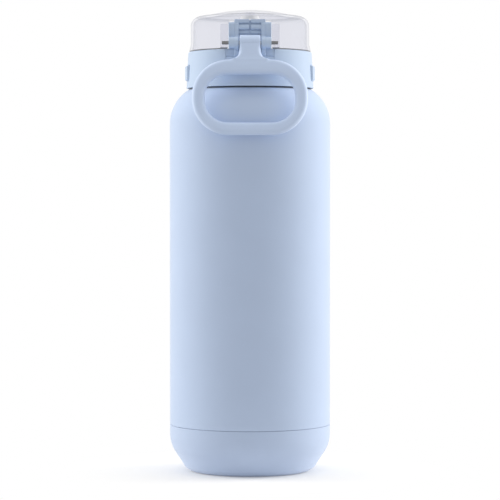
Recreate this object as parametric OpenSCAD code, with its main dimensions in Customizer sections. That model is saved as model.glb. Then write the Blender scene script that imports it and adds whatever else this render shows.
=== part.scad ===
// Insulated water jug: steel bottle, silicone boot, screw lid with a clear
// flip cover and a carry loop that hangs from the same hinge pin.
// Origin: centre of the foot, on the surface it stands on. +Z up, the button
// faces +Y, the hinge and carry loop are on the -Y side.

/* [Bottle] */
// Outer diameter of the body
body_d = 96; // [92:1:104]
// Height where the shoulder starts to curve in
shoulder_z = 207.9; // [180:0.1:240]
// Radius of the shoulder
shoulder_r = 24; // [22:1:26]
// Wall thickness of the outer shell
shell_t = 0.8; // [0.6:0.1:1.2]
// Wall thickness of the inner liner
liner_t = 0.7; // [0.5:0.1:1]
// Vacuum gap between shell and liner
vacuum_gap = 2.9; // [2:0.1:4]
// Outer radius of the neck, under its thread
neck_r = 29.6; // [28:0.1:30]
// Height of the neck's rim
rim_z = 241; // [238:0.5:244]

/* [Boot] */
// Height of the boot
boot_h = 27.6; // [20:0.2:40]
// Thickness of the boot's wall and floor
boot_t = 1.6; // [1.2:0.1:2.4]
// Radius of the flat foot
foot_r = 32.9; // [30:0.1:36]
// Rounding between foot and flank
foot_round = 8; // [6:0.5:10]
// Slope of the flank from the vertical
flank_angle = 33; // [28:1:40]
// Rounding between flank and body
flank_round = 20; // [14:1:24]

/* [Lid] */
// Bottom of the lid's collar
collar_z0 = 229; // [228.5:0.1:230]
// Top of the lid's collar
collar_z1 = 250.6; // [250:0.1:252]
// Outer radius of the collar at its bottom
collar_r0 = 38; // [37.5:0.1:39]
// Outer radius of the collar at its top
collar_r1 = 36.9; // [36.5:0.1:37.5]
// Pitch of the lid's thread
pitch = 4; // [3.5:0.1:4.5]
// Turns of the lid's thread
turns = 1.25; // [1:0.25:1.5]
// Outer radius of the drinking spout
spout_r = 11; // [9:0.5:12]
// Bore radius of the drinking spout
spout_bore = 8.6; // [7:0.1:9.5]
// Height of the spout's lip
spout_z1 = 267.8; // [262:0.1:268]

/* [Cover] */
// Outer radius of the clear cover
cover_r = 35.4; // [35:0.1:35.6]
// Height of the cover's flat top
cover_z1 = 271.8; // [271.5:0.1:273]
// Height of the crown of the cover's dome
crown_z = 275.7; // [274:0.1:278]
// Thickness of the cover's wall
cover_t = 1.5; // [1.2:0.1:1.8]

/* [Hinge] */
// Distance of the hinge pin behind the bottle's axis
pin_y = 37; // [36.5:0.1:37.5]
// Height of the hinge pin
pin_z = 254; // [253.5:0.1:254.5]
// Radius of the hinge pin
pin_r = 1; // [0.9:0.05:1.1]
// Radial running clearance on the pin
pin_play = 0.05; // [0.02:0.01:0.1]

/* [Carry loop] */
// Outer width of the loop
loop_w = 67; // [60:0.5:70]
// Outer height of the loop, along its own slope
loop_h = 45.6; // [42:0.2:50]
// Thickness of the loop
loop_t = 5.6; // [5:0.1:6]
// Lean of the hanging loop from the vertical
loop_lean = 15; // [14:0.5:17]
// Width of the loop's side and bottom bars
loop_bar = 7.4; // [6:0.1:9]

/* [Latch] */
// Travel of the push button
press_travel = 2; // [1.8:0.1:2.2]

/* [Hidden] */
$fn = 96;

blue = [0.70, 0.78, 0.90];
steel = [0.78, 0.79, 0.80];
body_r = body_d / 2;
step = 6;              // degrees between points on an outline's arcs
eps = 0.01;

// Points on an arc about [x, y] from angle a0 to a1
function arc(x, y, r, a0, a1) =
    let (n = max(1, round(abs(a1 - a0) / step)))
    [for (i = [0 : n]) let (a = a0 + (a1 - a0) * i / n) [x + r * cos(a), y + r * sin(a)]];

// Height of the flank's arc centre, where its slope runs straight into the foot's rounding
flank_z = foot_round * (1 - sin(flank_angle))
    + (body_r - flank_round + flank_round * cos(flank_angle)
        - foot_r - foot_round * cos(flank_angle)) / tan(flank_angle)
    + flank_round * sin(flank_angle);

// Lower body line, set in by d: foot rounding, sloping flank, rounding into the side
function foot_line(d) = concat(
    arc(foot_r, foot_round, foot_round - d, -90, -flank_angle),
    arc(body_r - flank_round, flank_z, flank_round - d, -flank_angle, 0));

// Shoulder line set in by d, from the side up to the neck of radius r
function shoulder_line(d, r) =
    arc(body_r - shoulder_r, shoulder_z, shoulder_r - d, 0,
        acos((r - body_r + shoulder_r) / (shoulder_r - d)));

function reversed(p) = [for (i = [len(p) - 1 : -1 : 0]) p[i]];

seam = 0.4;
flange_r = 28;         // inner edge of the shell's turned-in foot
module outer_shell() {
    color(blue) rotate_extrude() polygon(concat(
        [[flange_r, boot_t]],
        foot_line(boot_t),
        [[body_r - boot_t, boot_h + seam], [body_r, boot_h + seam]],
        shoulder_line(0, neck_r),
        [[neck_r, rim_z], [neck_r - shell_t, rim_z]],
        reversed(shoulder_line(shell_t, neck_r - shell_t)),
        [[body_r - shell_t, boot_h + 4], [body_r - boot_t - shell_t, boot_h + 1]],
        reversed(foot_line(boot_t + shell_t)),
        [[flange_r, boot_t + shell_t]]));
}

liner_z0 = 9;
liner_round = 14;
module inner_liner() {
    r = body_r - shell_t - vacuum_gap;
    in = shell_t + vacuum_gap;
    color(steel) rotate_extrude() polygon(concat(
        [[0, liner_z0]],
        arc(r - liner_round, liner_z0 + liner_round, liner_round, -90, 0),
        shoulder_line(in, neck_r - shell_t),
        [[neck_r - shell_t, rim_z], [neck_r - shell_t - liner_t, rim_z]],
        reversed(shoulder_line(in + liner_t, neck_r - shell_t - liner_t)),
        reversed(arc(r - liner_round, liner_z0 + liner_round, liner_round - liner_t, -90, 0)),
        [[0, liner_z0 + liner_t]]));
}

cup_z = boot_t + shell_t;
cup_rise = 2.6;
cup_r = [22, 25];      // ends of the slope round the disc's raised middle
module base_cup() {
    edge = foot_r - 1;
    wall = shell_t / 2;
    color(steel) rotate_extrude() polygon([
        [0, cup_z + cup_rise],
        [cup_r[0], cup_z + cup_rise],
        [cup_r[1], cup_z],
        [edge, cup_z],
        [edge, cup_z + shell_t],
        [cup_r[1] + wall, cup_z + shell_t],
        [cup_r[0] + wall, cup_z + cup_rise + shell_t],
        [0, cup_z + cup_rise + shell_t]]);
}

dot_r = [2, 2.8];
dot_h = 1.1;
module vacuum_seal_dot() {
    color("gray") translate([0, 0, cup_z + cup_rise - dot_h])
        cylinder(r1 = dot_r[0], r2 = dot_r[1], h = dot_h);
}

getter_x = 12;
getter_r = 5;
getter_h = 1.8;
module getter_pill() {
    color("dimgray") translate([getter_x, 0, cup_z + cup_rise + shell_t])
        cylinder(r = getter_r, h = getter_h);
}

module boot() {
    hole_r = 20;
    groove = [25, 26.5, 0.6];
    color(blue) rotate_extrude() polygon(concat(
        [[hole_r, 0], [groove.x, 0], [groove.x, groove.z], [groove.y, groove.z], [groove.y, 0]],
        foot_line(0),
        [[body_r, boot_h], [body_r - boot_t, boot_h]],
        reversed(foot_line(boot_t)),
        [[hole_r, boot_t]]));
}

thread_z = 232.6;      // height of the neck thread's first ridge at +X
thread_steps = 48;     // sections in one turn
ridge_h = 1.6;
ridge_crest = 0.8;
// Helical ridge from radius root to crest, rising one pitch a turn and fading in and out at its ends
module thread_ridge(root, crest, z0) {
    n = round(turns * thread_steps);
    fade = 5;
    sections = [for (i = [0 : n])
        let (a = 360 * i / thread_steps,
             k = min(1, (i + 0.5) / fade, (n - i + 0.5) / fade),
             z = z0 + pitch * a / 360)
        [for (p = [[root, -ridge_h / 2], [root + (crest - root) * k, -ridge_crest / 2],
                   [root + (crest - root) * k, ridge_crest / 2], [root, ridge_h / 2]])
            [p.x * cos(a), p.x * sin(a), z + p.y]]];
    points = [for (s = sections) for (p = s) p];
    walls = [for (i = [0 : n - 1]) for (j = [0 : 3])
        let (a = 4 * i + j, b = 4 * i + (j + 1) % 4)
        [a, a + 4, b + 4, b]];
    faces = concat(walls, [[0, 1, 2, 3], [4 * n + 3, 4 * n + 2, 4 * n + 1, 4 * n]]);
    polyhedron(points, crest > root ? faces : [for (f = faces) reversed(f)]);
}

// Ridge rolled on the neck; its chords just clear the round wall
module neck_thread() {
    root = neck_r / cos(180 / thread_steps) + eps;
    color(steel) thread_ridge(root, neck_r + 1.6, thread_z);
}

// Ridge inside the lid, half a pitch under the neck's
module lid_thread() {
    color(blue) thread_ridge(sleeve_bore - eps, sleeve_bore - 1.4, thread_z + pitch / 2);
}

sleeve_r = 34;         // outside of the threaded sleeve, which the collar fits round
sleeve_bore = 31.6;
sleeve_z0 = 231.2;
plate_z = 242.6;       // underside of the lid's lower plate
plate_t = 2;
spring_stop = [8, 1.6, 3.5];
spring_stop_y = 18;    // front face of the wall that the button's spring bears on
module lid_core() {
    color(blue) {
        difference() {
            translate([0, 0, sleeve_z0])
                cylinder(r = sleeve_r, h = plate_z + plate_t - sleeve_z0);
            translate([0, 0, collar_z0])
                cylinder(r = sleeve_bore, h = plate_z - collar_z0);
            translate([0, 0, plate_z - 1])
                cylinder(r = spout_bore, h = plate_t + 2);
        }
        translate([-spring_stop.x / 2, spring_stop_y - spring_stop.y, plate_z + plate_t - eps])
            cube(spring_stop);
    }
}

gasket_w = 4.2;
gasket_play = 0.05;
module lid_gasket() {
    outer = neck_r + 1;
    color("whitesmoke") translate([0, 0, rim_z + gasket_play]) difference() {
        cylinder(r = outer, h = plate_z - rim_z - gasket_play);
        translate([0, 0, -1]) cylinder(r = outer - gasket_w, h = plate_z - rim_z + 2);
    }
}

recess_w = 28.4;       // hinge recess at the back of the collar
recess_z = 246.4;
button_w = 17;
button_z = [240.2, 248];
window_gap = 0.3;
grip_z = [233.2, 242.6];
grip_r = 36.4;
grip_span = 32;        // degrees
knob = [9, 3.4];       // lock knob, width and height
knob_z = 231.2;
tongue_w = 6;
module lid_collar() {
    chamfer = 0.7;
    lip = [1.9, 1.6];  // the inner lip's chamfer, clear of the bottle's shoulder
    color(blue) difference() {
        rotate_extrude() polygon([
            [sleeve_r + eps, collar_z0 + lip.y],
            [sleeve_r + lip.x, collar_z0],
            [collar_r0 - chamfer, collar_z0],
            [collar_r0, collar_z0 + chamfer],
            [collar_r1 + 0.15, collar_z1 - chamfer],
            [collar_r1 - 0.4, collar_z1],
            [sleeve_r, collar_z1]]);
        translate([-recess_w / 2, -50, recess_z]) cube([recess_w, 25, 20]);
        translate([-button_w / 2 - window_gap, 25, button_z[0] - window_gap])
            cube([button_w + 2 * window_gap, 25, button_z[1] - button_z[0] + 2 * window_gap]);
        translate([-tongue_w / 2 - 0.3, 25, knob_z - 0.2])
            cube([tongue_w + 0.6, 25, button_z[0] - knob_z]);
        for (s = [0, 180]) rotate(s - grip_span / 2) grip_ring(grip_r, grip_r + 5, 0);
    }
}

// Part of a ring at grip height, from radius r0 to r1, shortened by cut at each end
module grip_ring(r0, r1, cut) {
    rotate_extrude(angle = grip_span) polygon([
        [r0, grip_z[0] + cut], [r1, grip_z[0] + cut], [r1, grip_z[1] - cut], [r0, grip_z[1] - cut]]);
}

module side_grips() {
    grooves = 5;
    color(blue) for (s = [0, 180]) rotate(s) difference() {
        rotate(-grip_span / 2) grip_ring(grip_r, collar_r0 + 0.9, 0);
        for (i = [1 : grooves - 1])
            rotate(grip_span * (i / grooves - 0.5))
                translate([collar_r0 + 0.9, 0, grip_z[0] - 1])
                    cylinder(r = 0.6, h = grip_z[1] - grip_z[0] + 2, $fn = 24);
    }
}

deck_z = 248.3;
deck_t = 2;
deck_back = 28;        // the deck ends here in front of the hinge
post_w = 9;
post_y = [28.8, 30.4];
module top_deck() {
    color(blue) difference() {
        translate([0, 0, deck_z]) cylinder(r = sleeve_r - 0.05, h = deck_t);
        translate([0, 0, deck_z - 1]) cylinder(r = spout_r + 1.6, h = deck_t + 2);
        translate([-post_w / 2 - 0.4, post_y[0] - press_travel - 0.4, deck_z - 1])
            cube([post_w + 0.8, post_y[1] - post_y[0] + press_travel + 0.8, deck_t + 2]);
        translate([-recess_w / 2, -sleeve_r - 1, deck_z - 1])
            cube([recess_w, sleeve_r + 1 - deck_back, deck_t + 2]);
    }
}

spout_z0 = plate_z + plate_t + 1;
module spout() {
    lip = 0.9;
    flange = [2.5, 1.4];
    color(blue) rotate_extrude() polygon(concat(
        [[spout_bore, spout_z0],
         [spout_r + flange.x, spout_z0],
         [spout_r + flange.x, spout_z0 + flange.y],
         [spout_r + 1, spout_z0 + flange.y]],
        arc(spout_r - lip, spout_z1 - lip, lip, 0, 90),
        arc(spout_bore + lip, spout_z1 - lip, lip, 90, 180)));
}

module spout_gasket() {
    color("whitesmoke") translate([0, 0, plate_z + plate_t]) difference() {
        cylinder(r = spout_r + 2, h = spout_z0 - plate_z - plate_t);
        translate([0, 0, -1]) cylinder(r = spout_bore + 0.4, h = 3);
    }
}

ear_x = [6.5, 12.5];   // bracket ears, each side of the carry loop's boss
ear_top = 266.4;
ear_r = 3.4;
tower_y = [-33.2, -29.6];
foot_y = -36.4;        // back of the foot under the lobe
foot_z = 250;
web_y = -32;
web_t = 2;
pocket_r = 3.1;        // spring pockets, open outwards from pocket_x
pocket_x = 9.2;
bar_z = [262.2, 264.2, 268.2];
bar_w = 17.6;
bar_t = 3;
module hinge_bracket() {
    color(blue) difference() {
        union() {
            for (s = [-1, 1])
                translate([s * (ear_x[0] + ear_x[1]) / 2, 0, 0])
                    ear_plate(ear_x[1] - ear_x[0]);
            translate([1 - ear_x[1], web_y, recess_z])
                cube([2 * ear_x[1] - 2, web_t, ear_top - recess_z - 0.5]);
            translate([-bar_w / 2, web_y + 0.6, bar_z[0]])
                cube([bar_w, bar_t, bar_z[2] - bar_z[0]]);
        }
        translate([-20, -pin_y, pin_z]) rotate([0, 90, 0]) cylinder(r = pin_r, h = 40);
        for (s = [-1, 1])
            translate([s * (pocket_x + 5), -pin_y, pin_z]) rotate([0, 90, 0])
                cylinder(r = pocket_r, h = 10, center = true);
        translate([-0.5, web_y - 1, bar_z[1]]) cube([1, 2.2, 10]);
        translate([-bar_w, web_y - 1, bar_z[1]]) cube([2 * bar_w, 2, 0.6]);
    }
}

// Side outline of a bracket ear, w thick along X: a lobe round the pin on a foot, and a tower behind it
module ear_plate(w) {
    r = 1.4;
    rotate([90, 0, 90]) linear_extrude(height = w, center = true) polygon(concat(
        [[tower_y[1], recess_z], [tower_y[1], ear_top - r]],
        arc(tower_y[1] - r, ear_top - r, r, 0, 90),
        arc(tower_y[0] + r, ear_top - r, r, 90, 180),
        [[tower_y[0], pin_z + ear_r + 1]],
        arc(-pin_y, pin_z, ear_r, 60, 225),
        [[foot_y, foot_z], [foot_y, recess_z]]));
}

pin_half = 16.4;
module hinge_pin() {
    color("dimgray") translate([-pin_half, -pin_y, pin_z]) rotate([0, 90, 0])
        cylinder(r = pin_r, h = 2 * pin_half);
}

// Round wire of radius w wound as a helix of mean radius r, along +Z, with n turns over length l
module coil(r, w, n, l, sides) {
    per_turn = 20;
    m = round(n * per_turn);
    sections = [for (i = [0 : m]) let (a = 360 * n * i / m, z = l * i / m)
        [for (j = [0 : sides - 1]) let (b = 360 * j / sides)
            [(r + w * cos(b)) * cos(a), (r + w * cos(b)) * sin(a), z + w * sin(b)]]];
    points = [for (s = sections) for (p = s) p];
    walls = [for (i = [0 : m - 1]) for (j = [0 : sides - 1])
        let (a = sides * i + j, b = sides * i + (j + 1) % sides)
        [a, a + sides, b + sides, b]];
    first = [for (j = [0 : sides - 1]) j];
    last = [for (j = [sides - 1 : -1 : 0]) sides * m + j];
    polyhedron(points, concat(walls, [first, last]));
}

module cover_springs() {
    l = 2.1;
    color("silver") for (s = [-1, 1])
        translate([s * (pocket_x + 1.7) - l / 2, -pin_y, pin_z]) rotate([0, 90, 0])
            coil(2.2, 0.35, 2.8, l, 8);
}

cover_z0 = 250.9;
flare_r = 36.3;        // outer radius at the cover's rim
cover_round = 5.4;
dome_r = 27.6;         // where the dome starts on the flat top
dome_h = crown_z - cover_z1;
dome_sphere = (dome_r * dome_r + dome_h * dome_h) / (2 * dome_h);
cover_ear_x = [12.9, 17.3];
cover_ear_top = 265.6;
cover_ear_r = 3.3;
cover_ear_root = -31.2; // the ears end here, inside the cover's wall
notch_w = 26;          // clears the bracket's ears by 0.5 on each side
notch_top = 267.6;
catch_w = 10;
catch_z = [251.3, 252.4];
catch_y = 32.2;
// Half outline of the cover, set in by d, closed down its axis; the crown ends in a small flat
module cover_outline(d) {
    crown_a = asin(dome_r / dome_sphere);
    flat_a = 1;
    centre = crown_z - dome_sphere;
    polygon(concat(
        [[0, cover_z0 - d], [flare_r - d, cover_z0 - d], [flare_r - d, cover_z0 + 0.6],
         [cover_r - d, cover_z0 + 5]],
        arc(cover_r - cover_round, cover_z1 - cover_round, cover_round - d, 0, 90),
        [for (i = [0 : 6]) let (a = crown_a + (flat_a - crown_a) * i / 6)
            [(dome_sphere - d) * sin(a), centre + (dome_sphere - d) * cos(a)]],
        [[0, centre + (dome_sphere - d) * cos(flat_a)]]));
}

module clear_cover() {
    color([0.9, 0.92, 0.95, 0.5]) difference() {
        union() {
            difference() {
                rotate_extrude() cover_outline(0);
                rotate_extrude() cover_outline(cover_t);
                translate([-notch_w / 2, -45, cover_z0 - 5])
                    cube([notch_w, 20, notch_top - cover_z0 + 5]);
            }
            for (s = [-1, 1])
                translate([s * (cover_ear_x[0] + cover_ear_x[1]) / 2, 0, 0]) cover_ear();
            intersection() {
                translate([-catch_w / 2, catch_y, catch_z[0]])
                    cube([catch_w, 3, catch_z[1] - catch_z[0]]);
                translate([0, 0, cover_z0]) cylinder(r = cover_r - 0.4, h = 10);
            }
            translate([0, 0, stopper_boss_z])
                cylinder(r = boss_hole_r, h = crown_z - 0.6 - stopper_boss_z);
        }
        translate([-20, -pin_y, pin_z]) rotate([0, 90, 0])
            cylinder(r = pin_r + pin_play, h = 40);
    }
}

// Side outline of one cover ear: round under the pin, sloping up into the cover's wall
module cover_ear() {
    rotate([90, 0, 90])
        linear_extrude(height = cover_ear_x[1] - cover_ear_x[0], center = true)
            polygon(concat(
                arc(-pin_y, pin_z, cover_ear_r, 165, 300),
                [[cover_ear_root, cover_z0 + 0.6], [cover_ear_root, cover_ear_top],
                 [-pin_y + 3, cover_ear_top - 0.4],
                 [-pin_y - 1.2, pin_z + 8]]));
}

stopper_boss_z = 270.9;
boss_hole_r = 3;       // the cover's boss sits in the stopper's socket
module cover_stopper() {
    plug_h = 1.6;
    pad_z = spout_z1 + 0.1;
    neck = 5;
    color("whitesmoke") rotate_extrude() polygon([
        [0, spout_z1 - plug_h],
        [spout_bore - 2, spout_z1 - plug_h],
        [spout_bore - 1.2, pad_z],
        [spout_r + 1, pad_z],
        [spout_r + 1.4, pad_z + 0.9],
        [neck + 1, pad_z + 2.3],
        [neck, stopper_boss_z + 1.7],
        [boss_hole_r, stopper_boss_z + 1.7],
        [boss_hole_r, stopper_boss_z],
        [0, stopper_boss_z]]);
}

loop_top = [-41.4, 243.9];     // middle of the loop's top edge, y and z
loop_round = 21.6;
window = [loop_w - 2 * loop_bar, 29.2];
window_round = 13.4;
stem_w = 12.2;
boss_r = 4.5;
fillet = 5.6;
// Outline of the hanging loop, its top edge at y = 0, with the flare up to its stem
loop_outline = let (x = loop_w / 2 - loop_round, f = stem_w / 2 + fillet) concat(
    arc(f, fillet, fillet, 186, 270),
    arc(x, -loop_round, loop_round, 90, 0),
    arc(x, loop_round - loop_h, loop_round, 0, -90),
    arc(-x, loop_round - loop_h, loop_round, -90, -180),
    arc(-x, -loop_round, loop_round, 180, 90),
    arc(-f, fillet, fillet, 270, 354));

// Outline of the loop's finger window
window_outline = let (x = window.x / 2 - window_round,
                      y1 = loop_bar + window.y - loop_h - window_round,
                      y0 = loop_bar - loop_h + window_round) concat(
    arc(x, y1, window_round, 90, 0),
    arc(x, y0, window_round, 0, -90),
    arc(-x, y0, window_round, -90, -180),
    arc(-x, y1, window_round, 180, 90));

module carry_loop() {
    color(blue) difference() {
        union() {
            translate([0, loop_top.x, loop_top.y]) rotate([90 - loop_lean, 0, 0])
                linear_extrude(height = loop_t, center = true) difference() {
                    polygon(loop_outline);
                    polygon(window_outline);
                }
            translate([-stem_w / 2, -pin_y, pin_z]) rotate([0, 90, 0])
                cylinder(r = boss_r, h = stem_w);
            stem_root();
        }
        translate([-stem_w, -pin_y, pin_z]) rotate([0, 90, 0])
            cylinder(r = pin_r + pin_play, h = 2 * stem_w);
    }
}

// The stem's side outline between the boss and the loop's top edge
module stem_root() {
    across = 0.98 * loop_t / 2 * [-cos(loop_lean), sin(loop_lean)];
    down = [-sin(loop_lean), -cos(loop_lean)];
    pin = [-pin_y, pin_z];
    rotate([90, 0, 90]) linear_extrude(height = stem_w - 0.3, center = true) polygon([
        loop_top + across + 2 * down,
        loop_top - across + 2 * down,
        loop_top - across - 3 * down,
        pin + boss_r * [0.2, -0.9],
        pin + [1.6, 0],
        pin + [-1.6, 1.6],
        pin + boss_r * [-0.97, 0.1]]);
}

button_y = [36.5, 39.1];
arm_z = [245.2, 246.7];
nose_z = [252.7, 254.2];
nose_y = 33.4;
module push_button() {
    w = button_w / 2;
    color(blue) {
        intersection() {
            translate([-w, button_y[0], button_z[0]])
                cube([button_w, 5, button_z[1] - button_z[0]]);
            cylinder(r = button_y[1], h = 300);
        }
        translate([-post_w / 2, post_y[0], arm_z[0]])
            cube([post_w, button_y[0] - post_y[0] + 0.5, arm_z[1] - arm_z[0]]);
        translate([-post_w / 2, post_y[0], arm_z[0]])
            cube([post_w, post_y[1] - post_y[0], nose_z[1] - arm_z[0]]);
        translate([-post_w / 2, 0, 0]) rotate([90, 0, 90]) linear_extrude(height = post_w)
            polygon([[post_y[0], nose_z[0]], [nose_y, nose_z[0]],
                     [nose_y - 0.6, nose_z[0] + 0.6], [post_y[1], nose_z[1]]]);
    }
}

module button_spring() {
    l = post_y[0] - spring_stop_y;
    color("silver") translate([0, spring_stop_y + 0.25, plate_z + plate_t + 1.75])
        rotate([-90, 0, 0]) coil(1.45, 0.22, 6, l - 0.5, 6);
}

tongue_y = [34.2, 36.2];
tongue_h = 8.2;        // ends just under the button, which it slides behind
knob_neck_h = 4;
module lock_slider() {
    color(blue) {
        intersection() {
            translate([-tongue_w / 2, tongue_y[0], knob_z]) cube([tongue_w, 10, knob_neck_h]);
            cylinder(r = collar_r0 + 0.3, h = 300);
        }
        translate([-tongue_w / 2, tongue_y[0], knob_z])
            cube([tongue_w, tongue_y[1] - tongue_y[0], tongue_h]);
        intersection() {
            translate([-knob[0] / 2, 36, knob_z]) cube([knob[0], 10, knob[1]]);
            difference() {
                cylinder(r = collar_r0 + 1.3, h = 300);
                cylinder(r = collar_r0 + 0.15, h = 300);
            }
        }
    }
}

outer_shell();
neck_thread();
inner_liner();
base_cup();
vacuum_seal_dot();
getter_pill();
boot();
lid_core();
lid_thread();
lid_collar();
side_grips();
lid_gasket();
top_deck();
spout();
spout_gasket();
hinge_bracket();
hinge_pin();
cover_springs();
clear_cover();
cover_stopper();
carry_loop();
push_button();
button_spring();
lock_slider();
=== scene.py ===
import math

import bmesh
import bpy
import numpy as np
from bpy.props import FloatProperty, FloatVectorProperty, IntProperty, PointerProperty
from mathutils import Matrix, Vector


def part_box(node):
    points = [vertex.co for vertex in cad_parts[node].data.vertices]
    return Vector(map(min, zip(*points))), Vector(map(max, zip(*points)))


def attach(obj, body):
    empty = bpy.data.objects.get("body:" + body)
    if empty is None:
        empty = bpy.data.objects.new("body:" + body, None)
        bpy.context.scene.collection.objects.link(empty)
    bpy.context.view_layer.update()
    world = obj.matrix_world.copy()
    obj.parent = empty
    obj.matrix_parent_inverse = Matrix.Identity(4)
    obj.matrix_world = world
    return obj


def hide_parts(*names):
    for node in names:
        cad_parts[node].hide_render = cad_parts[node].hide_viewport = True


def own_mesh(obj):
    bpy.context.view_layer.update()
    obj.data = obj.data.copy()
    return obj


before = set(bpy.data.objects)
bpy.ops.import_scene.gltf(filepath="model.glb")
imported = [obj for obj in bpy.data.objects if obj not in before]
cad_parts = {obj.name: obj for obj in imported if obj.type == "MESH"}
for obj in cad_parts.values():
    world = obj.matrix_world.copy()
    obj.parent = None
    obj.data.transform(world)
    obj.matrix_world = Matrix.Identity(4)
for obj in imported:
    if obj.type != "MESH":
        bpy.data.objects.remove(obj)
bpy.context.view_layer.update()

bl_info = {
    "name": "Insulated water jug",
    "version": (1, 0, 0),
    "blender": (4, 5, 0),
    "location": "3D View > Sidebar > Water jug",
    "description": "Powder-coated bottle with a flip cover and a carry loop, round its CAD frame",
    "category": "Add Mesh",
}

MM = 0.001
TAU = 2 * math.pi
BUTTON_SIDE, HINGE_SIDE = 0.5 * math.pi, 1.5 * math.pi  # directions round the axis, from +X
PIN_Y, PIN_Z = -37.0, 254.0  # the hinge pin's axis, in mm


# ---------------------------------------------------------------- properties

def length(name, description, default):
    return FloatProperty(
        name=name, description=description, default=default, min=0, unit="LENGTH", precision=5)


def colour(name, description, default):
    return FloatVectorProperty(
        name=name, description=description, default=default, size=3, min=0, max=1, subtype="COLOR")


def factor(name, description, default, top=1.0):
    return FloatProperty(
        name=name, description=description, default=default, min=0, max=top, subtype="FACTOR")


def watts(name, description, default):
    return FloatProperty(name=name, description=description, default=default, min=0)


class JugShape(bpy.types.PropertyGroup):
    """Sizes that finish the frame's shapes."""
    around: IntProperty(
        name="Segments round", description="Segments round a turned piece", default=192, min=48, max=360)
    soft_edge: length("Moulded edge", "Rounding of the lid's moulded edges", 0.4 * MM)
    fine_edge: length("Small edge", "Rounding of small parts' edges", 0.2 * MM)
    loop_edge: length("Loop edge", "Rounding of the carry loop's bars", 2.65 * MM)
    collar_pocket: length("Pocket floor", "Radius of the floor behind the button and lock", 34.3 * MM)
    grip_groove: length("Grip groove", "Depth of the grooves in the side grips", 0.5 * MM)
    thumb_dish: length("Thumb dish", "Depth of the dish in the push button", 0.5 * MM)
    press_travel: length("Button travel", "How far the push button goes in", 2 * MM)


class JugFinish(bpy.types.PropertyGroup):
    """Colours and finishes."""
    coat: colour("Powder coat", "Colour of the bottle's powder coat", (0.488, 0.592, 0.785))
    boot: colour("Boot", "Colour of the silicone boot", (0.472, 0.573, 0.765))
    lid: colour("Lid", "Colour of the lid's moulded plastic", (0.48, 0.59, 0.76))
    loop: colour("Carry loop", "Colour of the carry loop", (0.56, 0.672, 0.88))
    steel: colour("Steel", "Colour of bare steel", (0.60, 0.60, 0.59))
    seal: colour("Seals", "Colour of the silicone seals", (0.80, 0.81, 0.80))
    clear: colour("Clear cover", "Tint of the cover's edges", (0.42, 0.43, 0.47))
    coat_grain: length("Coat grain", "Size of the powder coat's grain", 0.35 * MM)
    coat_depth: length("Coat grain depth", "Depth of the powder coat's grain", 0.02 * MM)
    mould_grain: length("Mould grain", "Size of the grain on moulded parts", 0.6 * MM)
    wear: factor("Wear", "How far edges and the foot are rubbed paler", 0.35)
    cover_edge: factor("Cover edge", "How solid the cover looks at a glancing angle", 0.34)


class JugStage(bpy.types.PropertyGroup):
    """Floor, light and camera."""
    floor: colour("Floor", "Colour of the floor", (0.90, 0.90, 0.905))
    distance: length("Camera distance", "Distance of the camera from the bottle's axis", 1.38)
    camera_z: length("Camera height", "Height of the camera", 0.1653)
    aim_z: length("Aim height", "Height that the camera looks at", 0.1323)
    lens: FloatProperty(name="Lens", description="Focal length in mm", default=165.6, min=20, max=300)
    ambient: factor("Ambient", "Brightness of the surrounding white room", 0.66, 4)
    side_light: watts("Side light", "Power of the left soft box in W, and 0.8 of the right one's", 17.5)
    side_tone: colour("Side tone", "Colour of the side soft boxes", (1.0, 0.955, 0.885))
    top_light: watts("Top light", "Power of the soft box above in W", 5)


# ---------------------------------------------------------------- surfaces

def arc(cx, cy, r, a0, a1, n=10):
    """Points on a circle about (cx, cy) from angle a0 to a1, in degrees."""
    a = np.radians(np.linspace(a0, a1, n + 1))
    return np.stack([cx + r * np.cos(a), cy + r * np.sin(a)], -1)


def riser(r, z0, z1, n):
    """n points at the radius r, evenly spaced from height z0 to height z1."""
    return np.stack([np.full(n, float(r)), np.linspace(z0, z1, n)], -1)


def outline(*parts):
    """Joins points and arcs in mm into one line of points in metres."""
    return np.concatenate([np.atleast_2d(np.asarray(p, float)) for p in parts]) * MM


def soften(line, r, n=4):
    """Rounds each corner of a closed line: each corner P becomes the curve (1-t)^2 A + 2t(1-t) P + t^2 B,
    where A and B lie on its two sides, r away, or 0.45 of the side where that is shorter."""
    before, after = np.roll(line, 1, 0) - line, np.roll(line, -1, 0) - line
    size = [np.linalg.norm(d, axis=1, keepdims=True) + 1e-12 for d in (before, after)]
    a, b = (line + d / s * np.minimum(r, 0.45 * s) for d, s in zip((before, after), size))
    t = np.linspace(0, 1, n + 1)[None, :, None]
    curve = (1 - t) ** 2 * a[:, None] + 2 * t * (1 - t) * line[:, None] + t ** 2 * b[:, None]
    return curve.reshape(-1, 2)


def smooth(x):
    """0 below 0, 1 above 1, and 3x^2 - 2x^3 between."""
    x = np.clip(x, 0, 1)
    return x * x * (3 - 2 * x)


def grid(points, wrap_u=False, wrap_v=False):
    """Vertices and quads of a grid of points, joined end to end along the directions that wrap."""
    nu, nv = points.shape[:2]
    i = np.arange(nu if wrap_u else nu - 1)[:, None]
    j = np.arange(nv if wrap_v else nv - 1)[None, :]
    i1, j1 = (i + 1) % nu, (j + 1) % nv
    quads = np.stack([i * nv + j, i1 * nv + j, i1 * nv + j1, i * nv + j1], -1)
    return points.reshape(-1, 3), quads.reshape(-1, 4)


def turned(line, around):
    """Surface of revolution: each point (r, z) of a closed line goes to (r cos u, r sin u, z)."""
    u = np.arange(around) / around * TAU
    r, z = line[None, :, 0], line[None, :, 1]
    p = np.stack([r * np.cos(u)[:, None], r * np.sin(u)[:, None], z + 0 * u[:, None]], -1)
    return grid(p, True, True)


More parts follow.
